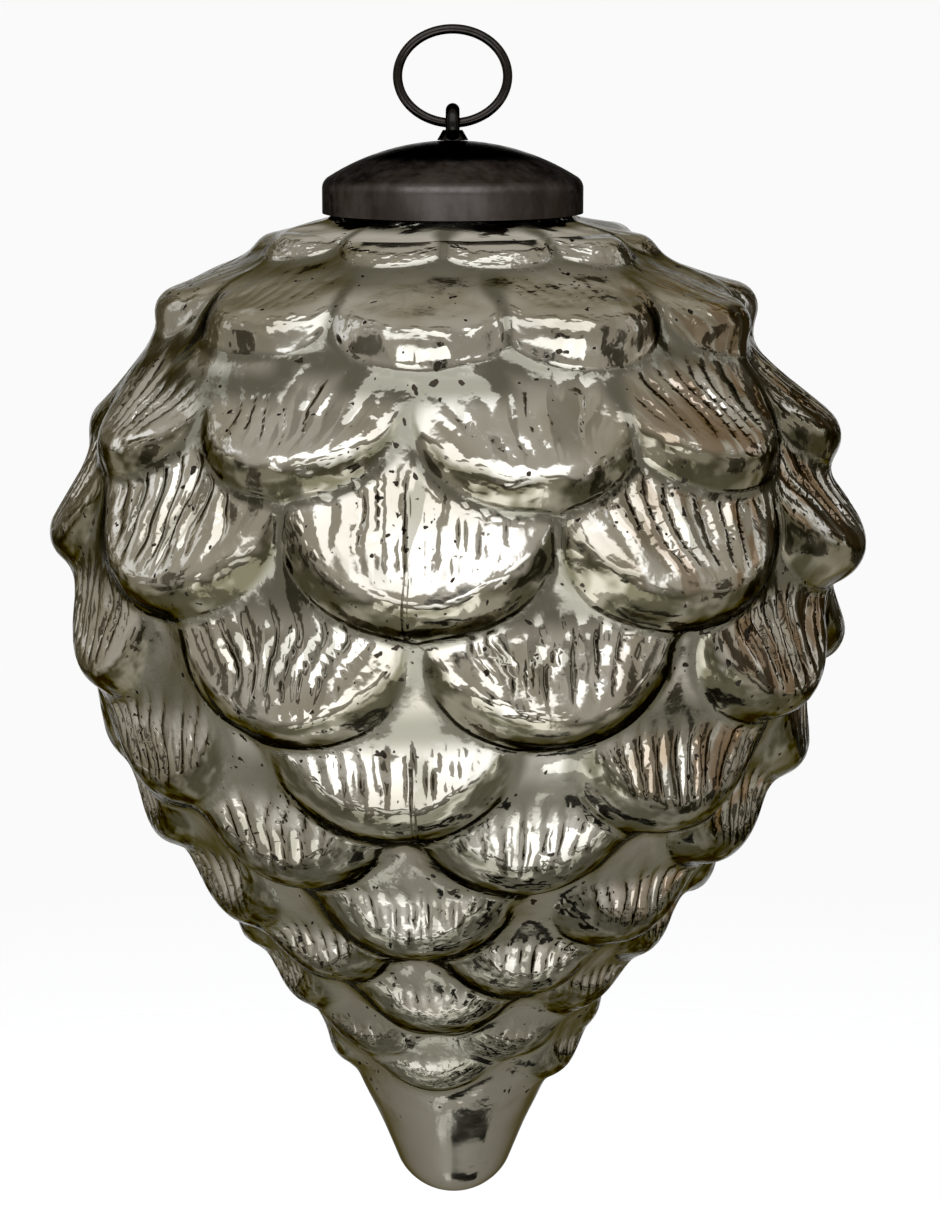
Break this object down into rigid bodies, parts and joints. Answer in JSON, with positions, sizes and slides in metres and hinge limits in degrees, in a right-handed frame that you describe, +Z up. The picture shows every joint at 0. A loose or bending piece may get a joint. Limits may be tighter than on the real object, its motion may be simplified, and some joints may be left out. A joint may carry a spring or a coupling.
{
  "type": "pine cone ornament",
  "caption": "Silvered glass pine cone ornament with rows of overlapping scales, a dark domed metal cap, and a wire ring that swings in a small eye on the cap.",
  "frame": {"origin": "the inside top of the wire ring, where a hook bears and the ornament hangs from", "axes": "+Z up along the ornament's axis; the ring stands in the XZ plane and its eye in the YZ plane; the picture looks along +Y with +X to its right"},
  "size_m": [0.1002, 0.0997, 0.1482],
  "materials": {
    "silvered_glass": "silvered inside, with dark flecks and brown stains",
    "dark_metal": "dark glossy patina",
    "spring_steel": "plain"
  },
  "bodies": {
    "ring": {"ring": "dark_metal"},
    "ornament": {"hanger_eye": "dark_metal", "cap": "dark_metal", "spring_clip": "spring_steel", "glass_body": "silvered_glass"}
  },
  "joints": [
    {"name": "ring_swing", "type": "hinge", "parent": "ring", "child": "ornament", "pos_m": [0, 0, -0.01063], "axis": [1, 0, 0], "range_deg": [-105, 105]}
  ]
}
